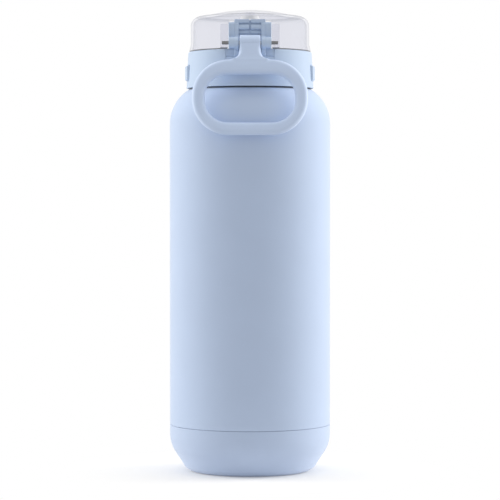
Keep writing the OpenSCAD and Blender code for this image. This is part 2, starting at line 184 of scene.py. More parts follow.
def inset(line, d):
    """Moves each point of a closed line inwards by d along its normal."""
    t = np.roll(line, -1, 0) - np.roll(line, 1, 0)
    t /= np.linalg.norm(t, axis=1, keepdims=True) + 1e-12
    n = np.stack([-t[:, 1], t[:, 0]], -1)
    area = np.sum(line[:, 0] * np.roll(line[:, 1], -1) - np.roll(line[:, 0], -1) * line[:, 1])
    return line + n * d * np.sign(area)


def plate(line, x0, x1, edge, centre=None):
    """A closed line in (y, z) carried along x from x0 to x1, with its edges rounded as a quarter circle:
    at an angle a the line is inset by edge (1 - sin a) and lies edge (1 - cos a) in from the end."""
    centre = line.mean(0) if centre is None else np.asarray(centre) * MM
    turn = np.linspace(0, math.pi / 2, 4)
    rows = [np.broadcast_to(centre, line.shape)]
    rows += [inset(line, edge * (1 - math.sin(a))) for a in turn]
    depth = np.concatenate([[0], edge * (1 - np.cos(turn))])
    rows = np.stack(rows + rows[::-1])
    x = np.concatenate([x0 + depth, (x1 - depth)[::-1]])
    p = np.concatenate([np.broadcast_to(x[:, None, None], rows.shape[:2] + (1,)), rows], -1)
    return grid(p, False, True)


def box_plate(lo, hi, edge):
    """A box between two corners in mm, with rounded edges, as a plate along x."""
    (x0, y0, z0), (x1, y1, z1) = lo, hi
    line = outline([[y0, z0], [y1, z0], [y1, z1], [y0, z1]])
    return plate(soften(line, edge), x0 * MM, x1 * MM, edge)


def pad(middle, half_w, z0, z1, r_back, front, corner, edge, nu=48, nv=32):
    """A pillow on a cylinder. (u, v) runs over a rectangle with rounded corners; the radius grows from
    r_back at its outline to front(x, z) inside, as the height sqrt(1 - (1 - d/edge)^2) at a distance d
    from the outline."""
    v = np.sin(np.linspace(-1, 1, nv) * math.pi / 2)[None, :]
    u = np.sin(np.linspace(-1, 1, nu) * math.pi / 2)[:, None]
    hz = (z1 - z0) / 2
    over = np.maximum(np.abs(v) * hz - (hz - corner), 0)
    x = u * (half_w - corner + np.sqrt(np.maximum(corner ** 2 - over ** 2, 0)))
    z = v * hz + 0 * u
    qx, qz = np.abs(x) - half_w + corner, np.abs(z) - hz + corner
    d = corner - np.hypot(np.maximum(qx, 0), np.maximum(qz, 0)) - np.minimum(np.maximum(qx, qz), 0)
    h = np.sqrt(np.clip(1 - (1 - np.clip(d / edge, 0, 1)) ** 2, 0, 1))
    h[[0, -1], :] = 0
    h[:, [0, -1]] = 0
    z = z + (z0 + z1) / 2
    sheets = []
    for r in (r_back + h * (front(x, z) - r_back), np.full_like(x, r_back)):
        a = middle + x / r_back
        sheets.append(np.stack([r * np.cos(a), r * np.sin(a), z], -1))
    return join(grid(sheets[0]), grid(sheets[1][::-1]))


def join(*parts):
    """One set of vertices and faces out of several."""
    start = np.cumsum([0] + [len(v) for v, _ in parts[:-1]])
    faces = [f + first for first, (_, f) in zip(start, parts)]
    return np.concatenate([v for v, _ in parts]), np.concatenate(faces)


def near(edges, width, n):
    """Extra sample places, n on each side of every edge, closer together towards it."""
    t = np.linspace(-1, 1, 2 * n + 1)
    return (np.asarray(edges, float)[:, None] + width * np.sign(t) * t ** 2).ravel()


def piece(name, shells, body, material, replaces=(), crease=35):
    """Makes a mesh of closed shells, each with its coincident points merged and its faces turned
    outwards, so that it encloses a positive volume. Edges sharper than crease, in degrees, stay sharp."""
    bm = bmesh.new()
    for verts, faces in shells:
        part = bpy.data.meshes.new("shell")
        part.from_pydata(verts, [], faces.tolist())
        one = bmesh.new()
        one.from_mesh(part)
        bmesh.ops.remove_doubles(one, verts=one.verts, dist=1e-7)
        bmesh.ops.dissolve_degenerate(one, edges=one.edges, dist=1e-8)
        if one.calc_volume(signed=True) < 0:
            bmesh.ops.reverse_faces(one, faces=one.faces)
        one.to_mesh(part)
        one.free()
        bm.from_mesh(part)
        bpy.data.meshes.remove(part)
    mesh = bpy.data.meshes.new(name)
    bm.to_mesh(mesh)
    bm.free()
    mesh.shade_smooth()
    mesh.set_sharp_from_angle(angle=math.radians(crease))
    made = bpy.data.objects.new(name, mesh)
    bpy.context.scene.collection.objects.link(made)
    mesh.materials.append(material)
    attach(made, body)
    if replaces:
        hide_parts(*replaces)
    return made


# ---------------------------------------------------------------- shaders

class Value:
    """A shader socket whose arithmetic adds Math nodes."""

    def __init__(self, shader, socket):
        self.shader, self.socket = shader, socket

    def maths(self, operation, a, b):
        return self.shader.node("ShaderNodeMath", {"operation": operation}, {0: a, 1: b})

    def __add__(self, other):
        return self.maths("ADD", self, other)

    def __sub__(self, other):
        return self.maths("SUBTRACT", self, other)

    def __mul__(self, other):
        return self.maths("MULTIPLY", self, other)

    def __rsub__(self, other):
        return self.maths("SUBTRACT", other, self)

    def __pow__(self, other):
        return self.maths("POWER", self, other)

    __radd__, __rmul__ = __add__, __mul__


class Shader:
    """A material and its nodes."""

    def __init__(self, name):
        self.material = bpy.data.materials.new(name)
        self.material.use_nodes = True
        self.tree = self.material.node_tree
        self.tree.nodes.clear()

    def node(self, kind, settings=None, sockets=None, output=0):
        """Adds a node: its settings first, then the values or links of its sockets."""
        made = self.tree.nodes.new(kind)
        for key, value in (settings or {}).items():
            setattr(made, key, value)
        for key, value in (sockets or {}).items():
            if isinstance(value, Value):
                self.tree.links.new(value.socket, made.inputs[key])
            else:
                made.inputs[key].default_value = value
        return Value(self, made.outputs[output] if len(made.outputs) else None)

    def place(self):
        return self.node("ShaderNodeTexCoord", output="Object")

    def axis(self, place, name):
        return self.node("ShaderNodeSeparateXYZ", sockets={"Vector": place}, output=name)

    def noise(self, place, size, detail=2.0, rough=0.5, stretch=None):
        """Noise from 0 to 1 with features of a given size in metres. A stretch above 1 makes them
        finer along that axis."""
        if stretch:
            place = self.node("ShaderNodeMapping", sockets={"Vector": place, "Scale": stretch})
        return self.node("ShaderNodeTexNoise", sockets={
            "Vector": place, "Scale": 1 / size, "Detail": detail, "Roughness": rough})

    def step(self, value, low, high):
        """0 at low, 1 at high, smooth between."""
        return self.node("ShaderNodeMapRange", {"interpolation_type": "SMOOTHSTEP"}, {
            "Value": value, "From Min": low, "From Max": high})

    def mix(self, share, a, b):
        return self.node("ShaderNodeMix", {"data_type": "RGBA"}, {0: share, 6: a, 7: b}, output=2)

    def bump(self, height, depth):
        return self.node("ShaderNodeBump", sockets={
            "Height": height, "Distance": depth, "Strength": 1.0})

    def finish(self, surface):
        self.node("ShaderNodeOutputMaterial", sockets={"Surface": surface})
        return self.material


def shade(tone, k):
    """A colour k times as bright, with full alpha."""
    return tuple(min(1.0, c * k) for c in tone) + (1.0,)


def bare_steel(name, tone, along, rough=0.24):
    """Drawn steel: fine drawing lines, stretched by the factors in along, and faint clouding."""
    s = Shader(name)
    at = s.place()
    lines = s.noise(at, 0.9 * MM, 3, 0.6, along)
    cloud = s.noise(at, 14 * MM, 2)
    return s.finish(s.node("ShaderNodeBsdfPrincipled", sockets={
        "Base Color": s.mix(lines * 0.5 + cloud * 0.5, shade(tone, 0.88), shade(tone, 1.1)),
        "Metallic": 1.0,
        "Roughness": lines * 0.14 + cloud * 0.08 + (rough - 0.08),
        "Normal": s.bump(lines, 0.006 * MM)}))


def powder_coat(finish, neck_z, foot_z):
    """Fine-grained matt powder coat, clouded by 3 percent, with pale specks, rubbed paler just above
    foot_z. Above neck_z, along a slightly ragged line, it ends and the neck is bare turned steel."""
    s = Shader("powder_coat")
    at = s.place()
    z = s.axis(at, "Z")
    grain = s.noise(at, finish.coat_grain, 2, 0.55)
    cloud = s.noise(at, 22 * MM, 3)
    speck = s.step(s.noise(at, 1.1 * MM, 1), 0.66, 0.74)
    low_down = 1 - s.step(z, foot_z, foot_z + 5 * MM)
    rub = low_down * s.noise(at, 2.2 * MM, 3) * finish.wear
    coat = s.mix(cloud, shade(finish.coat, 0.97), shade(finish.coat, 1.03))
    coat = s.mix(speck * 0.10 + rub * 0.5, coat, shade(finish.coat, 1.25))
    coat = s.mix(grain * 0.12, coat, shade(finish.coat, 0.85))
    lines = s.noise(at, 0.8 * MM, 3, 0.6, (1, 1, 9))
    metal = s.step(z + grain * 0.4 * MM, neck_z, neck_z + 0.3 * MM)
    neck = s.mix(lines, shade(finish.steel, 0.9), shade(finish.steel, 1.1))
    return s.finish(s.node("ShaderNodeBsdfPrincipled", sockets={
        "Base Color": s.mix(metal, coat, neck),
        "Metallic": metal,
        "Roughness": metal * (lines * 0.1 - 0.26) + grain * 0.08 + cloud * 0.05 + 0.43,
        "Sheen Weight": 0.3,
        "Sheen Roughness": 0.35,
        "Normal": s.bump(grain * (1 - metal * 0.8), finish.coat_depth)}))


def moulded(name, tone, grain_size, rough, depth=0.012 * MM, sheen=0.0, speckle=0.08):
    """Moulded plastic or silicone: a fine etched grain, slow flow clouding, specks of dust and a
    roughness that varies with grain and flow."""
    s = Shader(name)
    at = s.place()
    grain = s.noise(at, grain_size, 3, 0.6)
    flow = s.noise(at, 17 * MM, 2, 0.5, (1, 1, 0.4))
    dust = s.step(s.noise(at, 0.5 * MM, 1), 0.7, 0.78)
    tint = s.mix(flow, shade(tone, 0.965), shade(tone, 1.035))
    tint = s.mix(grain * speckle, tint, shade(tone, 0.8))
    return s.finish(s.node("ShaderNodeBsdfPrincipled", sockets={
        "Base Color": s.mix(dust * speckle, tint, shade(tone, 1.3)),
        "Roughness": grain * 0.10 + flow * 0.08 + (rough - 0.09),
        "Sheen Weight": sheen,
        "Sheen Roughness": 0.5,
        "Normal": s.bump(grain, depth)}))


def clear_plastic(finish, rim_z, top_z):
    """Clear plastic: mostly see-through face on, more solid at a glancing angle and on the cover's dark
    sealing rim above rim_z, with haze and faint scuffs. On the bead round its crown at top_z it is
    painted greyer and more solid: painted shade for the dark line that the bead's edge shows."""
    s = Shader("clear_plastic")
    at = s.place()
    facing = s.node("ShaderNodeLayerWeight", sockets={"Blend": 0.35}, output="Facing")
    scuff = s.step(s.noise(at, 0.5 * MM, 3, 0.7, (1, 1, 5)), 0.60, 0.75)
    haze = s.noise(at, 9 * MM, 2)
    z = s.axis(at, "Z")
    rim = 1 - s.step(z, rim_z + 0.35 * MM, rim_z + 0.85 * MM)
    flat = s.node("ShaderNodeVectorMath", {"operation": "MULTIPLY"}, {0: at, 1: (1, 1, 0)})
    from_axis = s.node("ShaderNodeVectorMath", {"operation": "LENGTH"}, {0: flat}, output="Value")
    # painted shade: a band on the bead round the dome's foot, from 0.9 mm below to 0.5 mm above top_z and from
    # 24 mm out, is made greyer and more solid, standing in for the dark line its edge shows
    above = s.step(z, top_z - 0.9 * MM, top_z - 0.4 * MM)
    below = 1 - s.step(z, top_z + 0.15 * MM, top_z + 0.5 * MM)
    bead = above * below * s.step(from_axis, 24 * MM, 25 * MM)
    tint = s.mix(haze, shade(finish.clear, 0.9), shade(finish.clear, 1.1))
    body = s.node("ShaderNodeBsdfPrincipled", sockets={
        "Base Color": s.mix(rim, tint, shade(finish.clear, 0.3)),
        "Roughness": scuff * 0.12 + haze * 0.03 + 0.04,
        "Specular IOR Level": 0.6,
        "Normal": s.bump(haze, 0.05 * MM)})
    see = s.node("ShaderNodeBsdfTransparent", sockets={"Color": (0.955, 0.957, 0.975, 1)})
    # bead * 0.22 is the painted shade on the bead; rim * 0.75 is the dark sealing rim
    share = facing ** 4 * finish.cover_edge + scuff * 0.03 + 0.04 + rim * 0.75 + bead * 0.22
    return s.finish(s.node("ShaderNodeMixShader", sockets={0: share, 1: see, 2: body}))


COAT_END_Z, CROWN_Z = 228.1, 271.8  # in mm: the powder coat's upper edge, the foot of the cover's dome
MATERIALS = {}


def materials():
    """All finishes, made the first time they are asked for."""
    if MATERIALS:
        return MATERIALS
    finish = bpy.context.scene.jug_finish
    turned_lines, drawn_lines = (1, 1, 8), (8, 1, 1)
    MATERIALS.update(
        coat=powder_coat(finish, COAT_END_Z * MM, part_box("boot")[1].z),
        steel=bare_steel("steel", finish.steel, turned_lines),
        liner=bare_steel("liner_steel", shade(finish.steel, 0.95)[:3], turned_lines, 0.3),
        pin=bare_steel("pin_steel", shade(finish.steel, 0.5)[:3], drawn_lines, 0.28),
        wire=bare_steel("spring_wire", shade(finish.steel, 0.9)[:3], drawn_lines, 0.3),
        getter=bare_steel("getter_metal", shade(finish.steel, 0.4)[:3], turned_lines, 0.5),
        boot=moulded("silicone_boot", finish.boot, 0.9 * MM, 0.58, 0.02 * MM, 0.25, 0.10),
        lid=moulded("lid_plastic", finish.lid, finish.mould_grain, 0.36),
        deck=moulded("deck_plastic", shade(finish.lid, 0.96)[:3], finish.mould_grain, 0.4),
        loop=moulded("loop_plastic", finish.loop, finish.mould_grain, 0.46, 0.016 * MM, 0.1),
        grip=moulded("grip_rubber", shade(finish.lid, 0.97)[:3], 0.8 * MM, 0.55, 0.02 * MM, 0.2),
        button=moulded("button_plastic", shade(finish.lid, 1.02)[:3], finish.mould_grain, 0.34),
        seal=moulded("seal_silicone", finish.seal, 0.9 * MM, 0.42, 0.01 * MM, 0.1),
        clear=clear_plastic(finish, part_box("clear_cover")[0].z, CROWN_Z * MM),
    )
    return MATERIALS


def clothe(node, material):
    """Gives a carried-over CAD node a finish, in its material slots."""
    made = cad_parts[node]
    if not made.material_slots:
        made.data.materials.append(material)
    for slot in made.material_slots:
        slot.material = material


# ---------------------------------------------------------------- lines shared by turned pieces, in mm

BODY_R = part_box("outer_shell")[1].x / MM
RIM_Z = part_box("outer_shell")[1].z / MM
BOOT_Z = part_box("boot")[1].z / MM
SHOULDER_R, SHOULDER_Z, NECK_R = 24.0, 207.9, 29.6  # shoulder's rounding and its start, neck's radius
SHELL_T, BOOT_T, SEAM = 0.8, 1.6, 0.4  # walls of the shell and the boot, and the gap between them
FOOT_R, FOOT_ROUND, FLANK_A, FLANK_ROUND = 32.9, 8.0, 33.0, 20.0  # foot and flank; the angle in degrees
FLANK_SIN, FLANK_COS, FLANK_TAN = (f(math.radians(FLANK_A)) for f in (math.sin, math.cos, math.tan))
FLANK_Z = (FOOT_ROUND * (1 - FLANK_SIN)
           + (BODY_R - FLANK_ROUND + FLANK_ROUND * FLANK_COS - FOOT_R - FOOT_ROUND * FLANK_COS) / FLANK_TAN
           + FLANK_ROUND * FLANK_SIN)


def foot_line(d):
    """Lower body line set in by d: foot rounding, sloping flank, rounding into the side."""
    return np.concatenate([
        arc(FOOT_R, FOOT_ROUND, FOOT_ROUND - d, -90, -FLANK_A, 12),
        arc(BODY_R - FLANK_ROUND, FLANK_Z, FLANK_ROUND - d, -FLANK_A, 0, 12)])


def shoulder_line(d, r):
    """Shoulder line set in by d, from the side up to a neck of radius r."""
    end = math.degrees(math.acos((r - BODY_R + SHOULDER_R) / (SHOULDER_R - d)))
    return arc(BODY_R - SHOULDER_R, SHOULDER_Z, SHOULDER_R - d, 0, end, 28)


class JUG_OT_bottle(bpy.types.Operator):
    """Turns the half outlines of the shell, the liner, the base disc and the boot round the axis. The
    shell's lower wall steps in by the boot's thickness, so that the boot lies flush with it."""
    bl_idname = "jug.bottle"
    bl_label = "Bottle"

    def execute(self, context):
        shape, m = context.scene.jug_shape, materials()
        n = shape.around
        lip, opening_r = 0.2, 28
        shell = outline(
            [opening_r, BOOT_T], foot_line(BOOT_T), [BODY_R - BOOT_T, BOOT_Z + SEAM],
            arc(BODY_R - lip, BOOT_Z + SEAM + lip, lip, -90, 0, 4),
            riser(BODY_R, BOOT_Z + 8, SHOULDER_Z - 8, 12),
            shoulder_line(0, NECK_R),
            arc(NECK_R - SHELL_T / 2, RIM_Z - SHELL_T / 2, SHELL_T / 2, 0, 180, 8),
            shoulder_line(SHELL_T, NECK_R - SHELL_T)[::-1],
            [BODY_R - SHELL_T, BOOT_Z + 4], [BODY_R - BOOT_T - SHELL_T, BOOT_Z + 1],
            foot_line(BOOT_T + SHELL_T)[::-1], [opening_r, BOOT_T + SHELL_T])
        piece("bottle_shell", [turned(shell, n)], "bottle", m["coat"], ["outer_shell"])

        deep, thick, bend, low = SHELL_T + 2.9, 0.7, 14.0, 9.0
        r = BODY_R - deep
        liner = outline(
            [0, low], arc(r - bend, low + bend, bend, -90, 0, 14), shoulder_line(deep, NECK_R - SHELL_T),
            arc(NECK_R - SHELL_T - thick / 2, RIM_Z - thick / 2, thick / 2, 0, 180, 6),
            shoulder_line(deep + thick, NECK_R - SHELL_T - thick)[::-1],
            arc(r - bend, low + bend, bend - thick, 0, -90, 14), [0, low + thick])
        piece("steel_liner", [turned(liner, n)], "bottle", m["liner"], ["inner_liner"])

        z = BOOT_T + SHELL_T
        disc = outline(
            [[0, z + 2.6], [10, z + 2.9], [16, z + 2.6], [22, z + 2.6], [25, z], [31.9, z],
             [31.9, z + 0.8], [25.4, z + 0.8], [22.4, z + 3.4], [16, z + 3.4], [10, z + 3.4], [0, z + 3.4]])
        piece("base_disc", [turned(soften(disc, 0.6 * MM), n)], "bottle", m["steel"], ["base_cup"])

        edge, proud = 0.25, 0.22
        groove = [[25, 0], [25.2, 0.5], [26.3, 0.5], [26.5, 0]]
        boot = outline(
            arc(20.6, 0.6, 0.6, 180, 270, 4), groove, foot_line(0),
            [BODY_R, BOOT_Z - 0.9], arc(BODY_R - edge, BOOT_Z + proud - edge, edge, 0, 90, 5),
            [BODY_R - BOOT_T, BOOT_Z + proud], foot_line(BOOT_T)[::-1], [20, BOOT_T])
        piece("silicone_boot", [turned(boot, n)], "bottle", m["boot"], ["boot"])
        clothe("neck_thread", m["steel"])
        clothe("vacuum_seal_dot", m["getter"])
        clothe("getter_pill", m["getter"])
        return {"FINISHED"}


class JUG_OT_collar(bpy.types.Operator):
    """Carries the collar's section round the lid. The radius loses a pocket's depth where the grips, the
    button and the lock sit, and the heights above the bend are drawn down to the recess at the hinge.
    The grip pads are pillows whose face dips by groove depth (1 - wave)^4 between their ribs, where wave
    is a raised cosine of the distance round the collar."""
    bl_idname = "jug.collar"
    bl_label = "Lid collar"

    def execute(self, context):
        shape, m = context.scene.jug_shape, materials()
        low, high = (v.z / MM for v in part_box("lid_collar"))
        r_low, r_high, r_inside, r_middle = 38.0, 36.9, 34.1, 37
        recess_x, recess_z, bend_z = 14.2, 246.4, 240.0
        grip, grip_floor, grip_z = math.radians(16), 36.3, (233.2, 242.6)
        half_button, button_z = 9.0, (239.9, 248.3)
        half_slot, slot_z, front_r = 3.3, (231, 240.2), 37.5
        blend = 0.35
        edges = [-grip, grip, math.pi - grip, math.pi + grip,
                 *(HINGE_SIDE + s * math.asin(recess_x / r_middle) for s in (-1, 1)),
                 *(BUTTON_SIDE + s * math.asin(w / front_r) for w in (half_button, half_slot) for s in (-1, 1))]
        u = np.unique(np.round(np.mod(np.concatenate([
            np.arange(180) / 180 * TAU, near(edges, 0.03, 6)]), TAU), 6))
        side_z = np.unique(np.round(np.concatenate([
            np.linspace(low + 0.4, high - 0.9, 16), near([*grip_z, *button_z, slot_z[0]], 0.7, 4)]), 4))
        side_z = side_z[(side_z > low + 0.38) & (side_z < high - 0.85)]
        side_r = r_low + (r_high - r_low) * (side_z - low) / (high - low)
        lip = [[r_inside, low + 1.6], [35.9, low]]
        foot = np.concatenate([lip, arc(r_low - 0.35, low + 0.35, 0.35, -90, 0, 5)])
        line = np.concatenate([
            foot, np.stack([side_r, side_z], -1), arc(r_high - 0.75, high - 0.8, 0.8, 0, 90, 6), [[34.3, high]],
            riser(r_inside, high - 0.2, low + 2.6, 8)])
        is_side = np.zeros(len(line), bool)
        is_side[len(foot):len(foot) + len(side_z)] = True
        r, z = (np.broadcast_to(line[:, i], (len(u), len(line))) for i in (0, 1))

        def within(value, half):
            """1 where value is less than half from 0, else 0, with a short blend."""
            return smooth((half - np.abs(value)) / blend + 0.5)

        from_hinge = u[:, None] - HINGE_SIDE
        behind = within(r_middle * np.sin(from_hinge), recess_x) * (np.cos(from_hinge) > 0)
        top = high - (high - recess_z) * behind
        z = np.where(z > bend_z, bend_z + (z - bend_z) * (top - bend_z) / (high - bend_z), z)

        def band(z0, z1):
            return within(z - (z0 + z1) / 2, (z1 - z0) / 2)

        grips = sum(within(r_middle * np.arctan2(np.sin(u - c), np.cos(u - c))[:, None], r_middle * grip)
                    for c in (0, math.pi))
        r = np.where(is_side, r - (r - grip_floor) * grips * band(*grip_z), r)
        across = front_r * np.cos(u[:, None])
        pocket = np.maximum(within(across, half_button) * band(*button_z),
                            within(across, half_slot) * band(*slot_z)) * (np.sin(u[:, None]) > 0)
        r = np.where(is_side, r - (r - shape.collar_pocket / MM) * pocket, r)
        p = np.stack([r * np.cos(u[:, None]), r * np.sin(u[:, None]), z], -1) * MM
        piece("collar", [grid(p, True, True)], "lid", m["lid"], ["lid_collar"], 50)

        ribs, face_r, back_r, half_w, corner, edge = 5, 38.85, 36.4, 10.25, 1.0, 1.3

        def ribbed(x, z):
            wave = np.cos(x / (r_middle * MM) / (2 * grip) * ribs * TAU) * 0.5 + 0.5
            return face_r * MM - shape.grip_groove * (1 - wave) ** 4

        z0, z1 = grip_z[0] - 0.05, grip_z[1] + 0.05
        pads = [pad(side, half_w * MM, z0 * MM, z1 * MM, back_r * MM, ribbed, corner * MM, edge * MM, 120, 32)
                for side in (0, math.pi)]
        piece("grip_pads", pads, "lid", m["grip"], ["side_grips"], 50)
        return {"FINISHED"}


class JUG_OT_lid(bpy.types.Operator):
    """Turns the lid's inner parts round the axis, and finishes the nodes that keep their shape."""
    bl_idname = "jug.lid"
    bl_label = "Lid parts"

    def execute(self, context):
        shape, m = context.scene.jug_shape, materials()
        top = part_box("spout")[1].z / MM
        bore, r, bead_r, lip, flange_z = 8.6, 11.0, 11.35, 1.1, 245.6
        spout = outline(
            [[bore, flange_z], [13.5, flange_z], [13.5, 247], [12.2, 247.1], [11.5, 248.4], [11.05, 250.5]],
            riser(r, 252, top - 4.2, 5),
            [[r, top - 3.4], [bead_r, top - 2.9], [bead_r, top - 2.2], [r, top - 1.7]],
            arc(r - lip, top - lip, lip, 0, 90, 8), arc(bore + lip, top - lip, lip, 90, 180, 8),
            riser(bore, top - 4, 248, 6))
        piece("drinking_spout", [turned(soften(spout, 0.3 * MM), 128)],
              "lid", m["lid"], ["spout"])
        for node, name, r0, r1, z0, z1 in (
            ("lid_gasket", "rim_gasket", 26.4, 30.6, 241.05, 242.6),
            ("spout_gasket", "spout_seal", 9, 13, 244.6, 245.6),
        ):
            ring = soften(outline([[r0, z0], [r1, z0], [r1, z1], [r0, z1]]), 0.4 * MM)
            piece(name, [turned(ring, shape.around)], "lid", m["seal"], [node])
        clothe("lid_core", m["lid"])
        clothe("lid_thread", m["lid"])
        clothe("top_deck", m["deck"])
        return {"FINISHED"}


def spring_cup(s):
    """A short tube round the pin that holds a spring: a closed section (x, r) turned about the pin, on the
    side s of the middle."""
    r_in, r_out, x0, x1 = 3.05, 3.4, 9.0, 12.5
    section = soften(outline(
        [[x0, 1.02], [x0 + 0.25, 1.02], [x0 + 0.3, r_in], [x1, r_in], [x1, r_out], [x0, r_out]]), 0.1 * MM)
    a = np.arange(48)[:, None] / 48 * TAU
    x, r = s * section[None, :, 0] + 0 * a, section[None, :, 1]
    p = np.stack([x, PIN_Y * MM + r * np.cos(a), PIN_Z * MM + r * np.sin(a)], -1)
    return grid(p, True, True)


class JUG_OT_hinge(bpy.types.Operator):
    """Carries the bracket's side outlines across the hinge, and the pin's circle along it. On each side an
    ear that reaches out to the pin stands beside a straight tower, and a web with split bars joins them."""
    bl_idname = "jug.hinge"
    bl_label = "Hinge"

    def execute(self, context):
        shape, m = context.scene.jug_shape, materials()
        edge, fine = shape.soft_edge, shape.fine_edge
        corner = 0.35 * MM
        foot_z, crest_z, crest_r, inner_y = 246.4, 265, 1.4, -29.6
        back = [[inner_y, foot_z], [inner_y, crest_z]]
        crest = [arc(-31, crest_z, crest_r, 0, 90, 5), arc(-31.8, crest_z, crest_r, 90, 180, 5)]
        ear = soften(outline(back, *crest, [-33.2, 258.4], arc(PIN_Y, PIN_Z, 3.4, 60, 225, 18),
                             [[-36.4, 250], [-36.4, foot_z]]), corner)
        tower = soften(outline(back, *crest, [-33.2, foot_z]), corner)
        shells = []
        for s in (-1, 1):
            for line, x0, x1, middle in ((ear, 6.5, 9.2, (-33, 254.6)), (tower, 9.0, 12.5, (-31.4, 256))):
                shells.append(plate(line, *sorted((s * x0 * MM, s * x1 * MM)), edge, middle))
            shells.append(spring_cup(s))
        web = box_plate((-11.6, -31.2, foot_z), (11.6, -29.8, 265.9), fine)
        foot = box_plate((-13.9, -34.6, foot_z), (13.9, -30.4, 250.7), fine)
        shells += [web, foot]
        for y, z0, z1, soft in (
            (-31.9, 259.5, 261.3, 0.5), (-32.9, 261.9, 265.1, 1.3), (-32.6, 265.9, 268.1, 0.7),
        ):
            bar = soften(outline([[y, z0], [-29, z0], [-29, z1], [y, z1]]), soft * MM)
            for x0, x1 in ((-9.1, -0.3), (0.3, 9.1)):
                shells.append(plate(bar, x0 * MM, x1 * MM, edge))
        shells.append(box_plate((-8.4, -30.9, 262.4), (8.4, -28.6, 267.6), fine))
        piece("hinge_block", shells, "lid", m["lid"], ["hinge_bracket"], 40)
        rod, half = outline(arc(PIN_Y, PIN_Z, 1.0, 0, 345, 23)), 16.4 * MM
        piece("pin", [plate(rod, -half, half, 0.25 * MM)], "lid", m["pin"], ["hinge_pin"], 50)
        clothe("cover_springs", m["wire"])
        return {"FINISHED"}


class JUG_OT_cover(bpy.types.Operator):
    """Carries the cover's line from the crown down to the rim, outside and back up inside. The crown is a
    flat ball cap, the shoulder a quarter round, and the side flares out by a smooth step near the rim.
    Round the hinge the line ends early, at the notch's top, over a short blend."""
    bl_idname = "jug.cover"
    bl_label = "Clear cover"

    def execute(self, context):
        shape, m = context.scene.jug_shape, materials()
        low, crown = (v.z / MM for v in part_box("clear_cover"))
        r, top, bend, wall, dome_r = 35.4, CROWN_Z, 5.4, 1.5, 27.6
        flare_r, flare_z, flare_h = 0.9, 255.9, 5.0
        half_notch, notch_top, notch_r = 13.0, 267.6, 35
        rise = crown - top
        ball = (dome_r ** 2 + rise ** 2) / (2 * rise)
        cap_angle = math.degrees(math.asin(dome_r / ball))
        u = np.unique(np.round(np.concatenate([
            np.arange(180) / 180 * TAU,
            near([HINGE_SIDE + s * math.asin(half_notch / notch_r) for s in (-1, 1)], 0.05, 10)]), 6))
        across = notch_r * np.sin(u - HINGE_SIDE)
        notch = smooth((half_notch - np.abs(across)) / 0.5 + 0.5) * (np.cos(u - HINGE_SIDE) > 0)
        end = low + (notch_top - low) * notch
        t = np.concatenate([np.linspace(0, 0.86, 20), np.linspace(0.88, 1, 8)])[None, :]
        bead = [[dome_r + 0.15, top + 0.12], [dome_r + 0.6, top]]
        sheets = []
        for d, turns_in in ((0.0, -1), (wall, 1)):
            cap = arc(0, crown - ball, ball - d, 90, 90 - cap_angle, 14)
            cap[0, 0] = 0
            shoulder = arc(r - bend, top - bend, bend - d, 90, 25, 8)
            head = np.concatenate([cap, shoulder] if d else [cap, bead, shoulder])
            start = top - bend + (bend - d) * math.sin(math.radians(25))
            z = start + (end[:, None] - start) * t
            drop = np.clip((z - (top - bend)) / (bend - d), 0, 1)
            side_r = r - bend + (bend - d) * np.sqrt(1 - drop ** 2) + smooth((flare_z - z) / flare_h) * flare_r
            side_r = side_r + turns_in * smooth((0.5 - (z - end[:, None])) / 0.5) * 0.35
            side = np.stack([side_r * np.cos(u)[:, None], side_r * np.sin(u)[:, None], z], -1)
            hr, hz = head[None, :, 0], head[None, :, 1]
            dome = np.stack([hr * np.cos(u)[:, None], hr * np.sin(u)[:, None], hz + 0 * u[:, None]], -1)
            sheets.append(np.concatenate([dome, side], 1))
        shells = [grid(np.concatenate([sheets[0], sheets[1][:, ::-1]], 1) * MM, True, False)]

        ear = soften(outline(arc(PIN_Y, PIN_Z, 3.3, 165, 300, 16),
                             [[-32.6, 251.5], [-32.6, 265.4], [-34, 265.2], [-38.2, 262]]), 0.4 * MM)
        for s in (-1, 1):
            shells.append(plate(ear, *sorted((s * 12.9 * MM, s * 17.3 * MM)), 0.4 * MM, (-35.6, 256.5)))
        catch = box_plate((-5, 32.2, 251.3), (5, 34.6, 252.4), 0.2 * MM)
        boss_r, boss_z = 3, 270.9
        boss = turned(outline([[0, boss_z], [boss_r, boss_z], [boss_r, crown - 1.2], [0, crown - 1.0]]), 48)
        shells += [catch, boss]
        piece("flip_cover", shells, "cover", m["clear"], ["clear_cover"], 40)

        z = 267.8
        plug = outline([
            [0, z - 1.6], [6.6, z - 1.6], [7.4, z + 0.1], [11.6, z + 0.1], [12.35, z + 0.5], [12.2, z + 1],
            [6, z + 2.3], [5, 272.6], [boss_r, 272.6], [boss_r, boss_z], [0, boss_z]])
        piece("stopper", [turned(soften(plug, 0.35 * MM), 96)],
              "cover", m["seal"], ["cover_stopper"])
        return {"FINISHED"}


def rounded_section(half_w, half_t, r, n=6):
    """For each row, points (a, b) round a rectangle of half sizes half_w and half_t whose corners have
    the radius r."""
    turn = np.linspace(0, math.pi / 2, n + 1)
    a = np.concatenate([np.cos(turn), -np.sin(turn), -np.cos(turn), np.sin(turn)])
    b = np.concatenate([np.sin(turn), np.cos(turn), -np.sin(turn), -np.cos(turn)])
    sa = np.repeat([1, -1, -1, 1], n + 1)
    sb = np.repeat([1, 1, -1, -1], n + 1)
    return sa * (half_w[:, None] - r) + r * a, sb * (half_t[:, None] - r) + r * b


